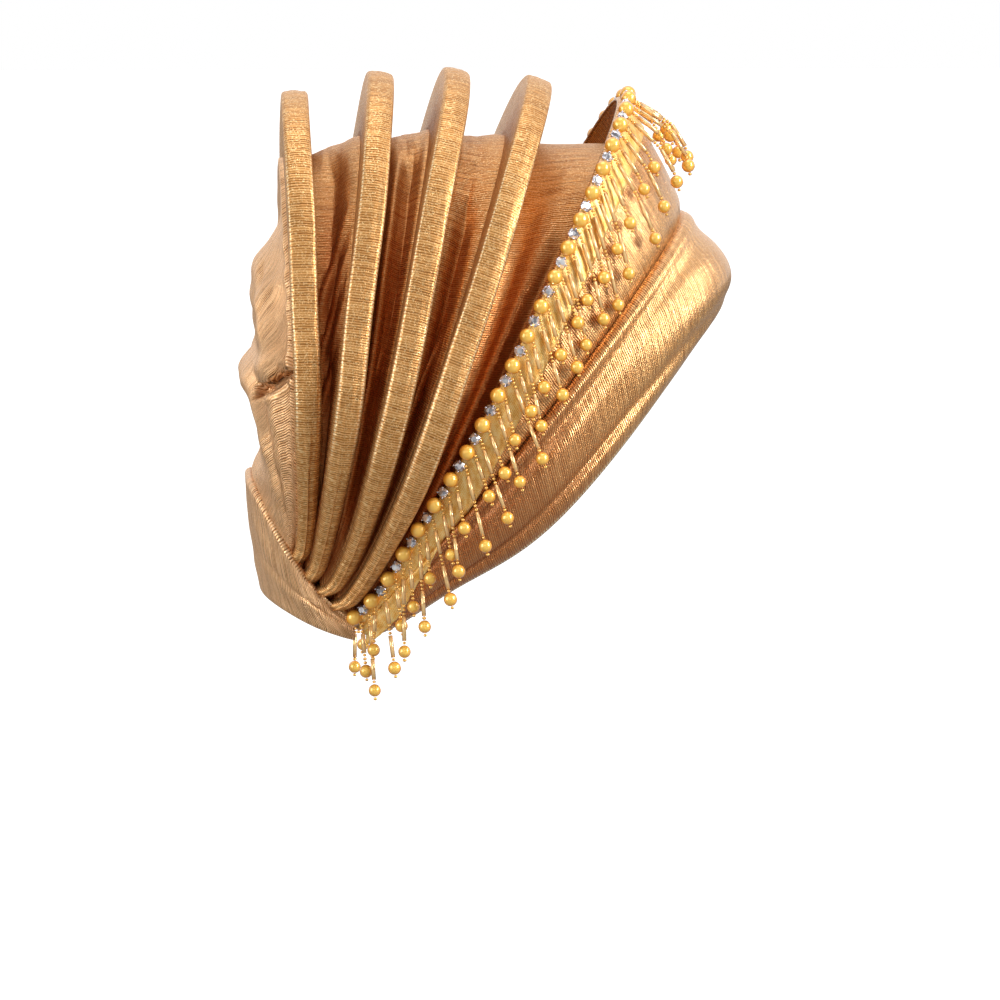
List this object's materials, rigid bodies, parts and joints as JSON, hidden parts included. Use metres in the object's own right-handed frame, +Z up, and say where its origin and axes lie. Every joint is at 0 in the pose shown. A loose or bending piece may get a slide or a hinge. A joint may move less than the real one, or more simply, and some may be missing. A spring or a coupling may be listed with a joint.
{
  "type": "gele head tie",
  "caption": "Ready-tied gele turban of crinkled gold lamé: four tall padded fins over a pleated crown, wrapped front bands, a pearl chain and a hanging bead fringe.",
  "frame": {"origin": "the head seat: the inside top of the crown, on the middle plane, where the cap rests on the wearer's head", "axes": "+X towards the wearer's front, +Y towards the wearer's left, +Z up"},
  "size_m": [0.2152, 0.2072, 0.2774],
  "materials": {
    "gold_lame": "crinkled metallic gold cloth",
    "gold_mesh": "open gold mesh ribbon",
    "gold_pearl": "glossy gold pearl",
    "gold_beads": "metallic gold glass beads"
  },
  "bodies": {
    "root": {"crown_cloth": "gold_lame", "fin_1": "gold_lame", "fin_2": "gold_lame", "fin_3": "gold_lame", "fin_4": "gold_lame", "rear_drape": "gold_lame", "rear_band": "gold_lame", "front_band_upper": "gold_lame", "front_band_lower": "gold_lame", "mesh_ribbon": "gold_mesh", "pearl_chain": "gold_pearl", "bead_fringe": "gold_beads"}
  },
  "joints": []
}
